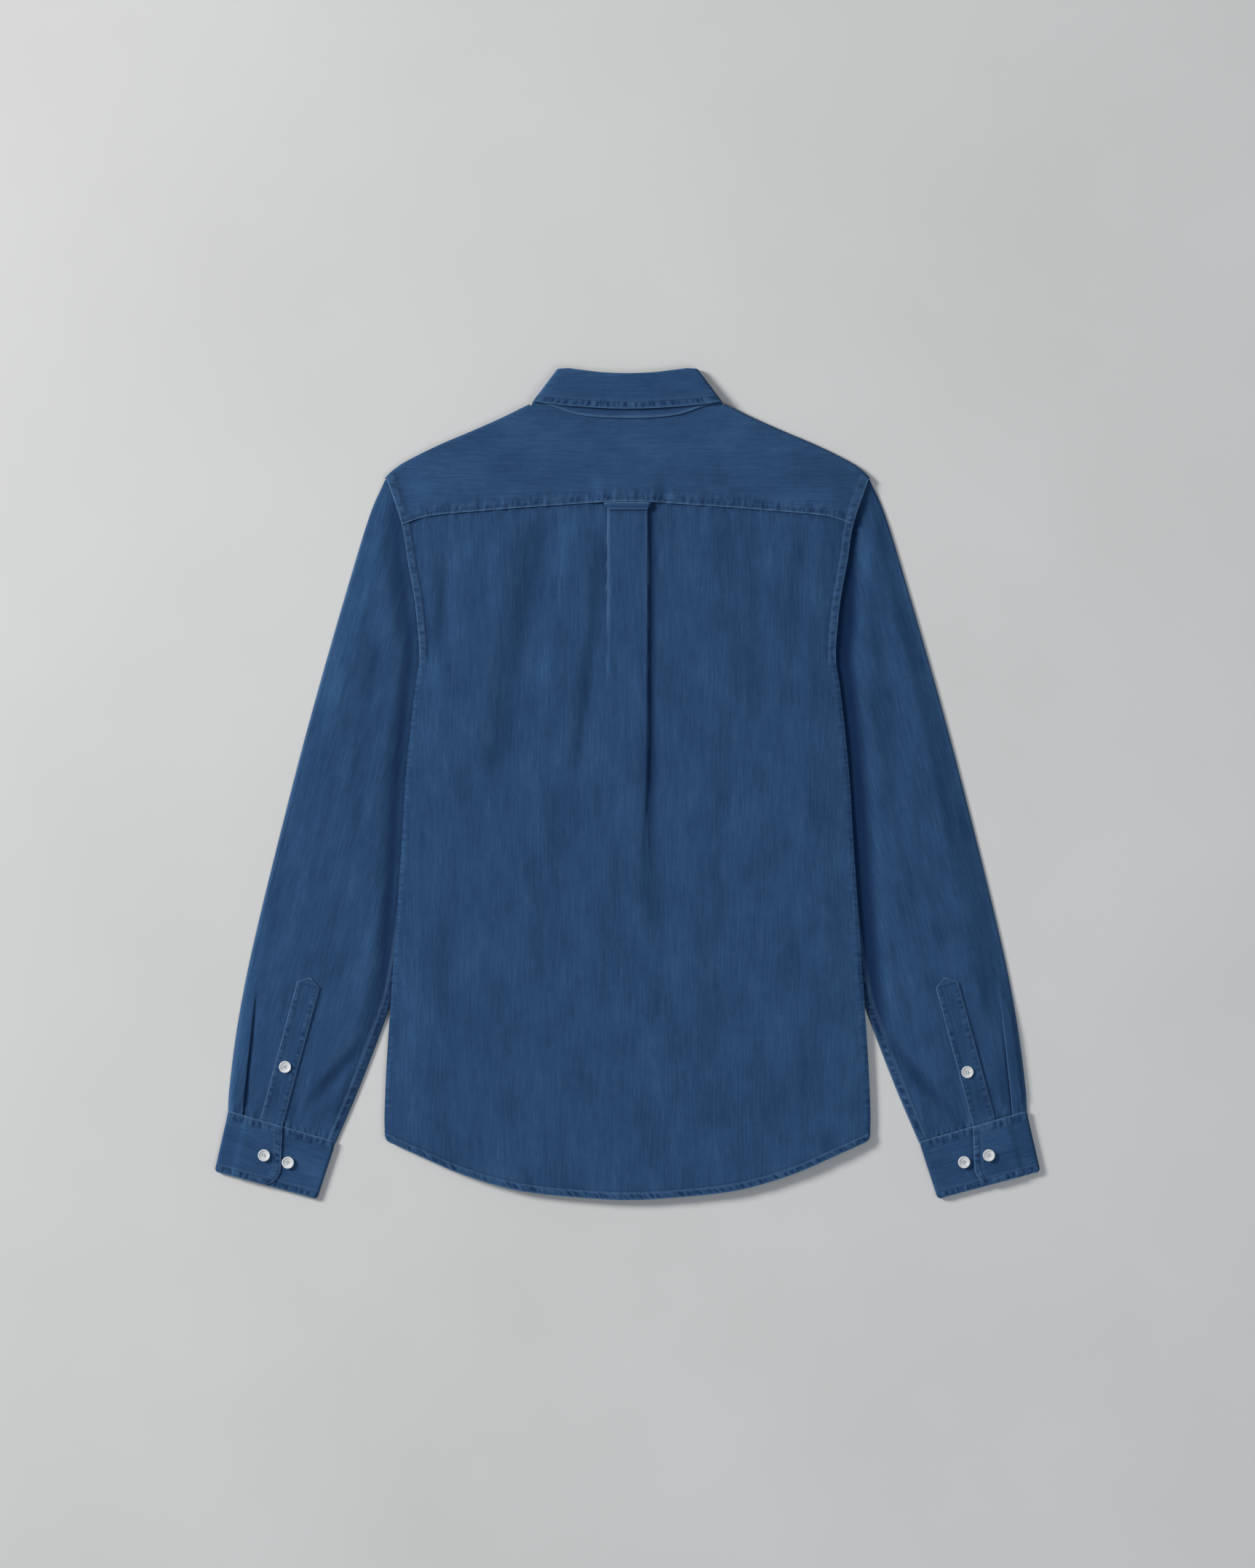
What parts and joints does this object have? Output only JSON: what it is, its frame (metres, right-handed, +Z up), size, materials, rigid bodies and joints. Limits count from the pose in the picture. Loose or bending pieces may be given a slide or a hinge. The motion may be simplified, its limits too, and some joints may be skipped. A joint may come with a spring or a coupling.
{
  "type": "flat-laid denim shirt",
  "caption": "Long-sleeved button-up denim shirt with a point collar, back yoke, box pleat and locker loop, laid flat face down with its back up.",
  "frame": {"origin": "on the surface the shirt lies on, under the middle of its outline", "axes": "+Z up out of the shirt's back, +Y from the hem to the collar, +X to the right seen from above"},
  "size_m": [0.795, 0.8006, 0.0106],
  "materials": {
    "denim": "washed indigo shirting denim, matte",
    "button": "white, satin"
  },
  "bodies": {
    "root": {"back_panel": "denim", "front_left": "denim", "front_right": "denim", "yoke": "denim", "collar_stand": "denim", "collar_fall": "denim", "locker_loop": "denim", "sleeve_left": "denim", "sleeve_right": "denim", "cuff_left": "denim", "cuff_right": "denim", "sleeve_placket_left": "denim", "sleeve_placket_right": "denim", "button_cuff_outer_left": "button", "button_cuff_outer_right": "button", "button_cuff_spare_left": "button", "button_cuff_spare_right": "button", "button_placket_left": "button", "button_placket_right": "button", "button_front_1": "button", "button_front_2": "button", "button_front_3": "button", "button_front_4": "button", "button_front_5": "button", "button_front_6": "button", "button_collar": "button"}
  },
  "joints": []
}
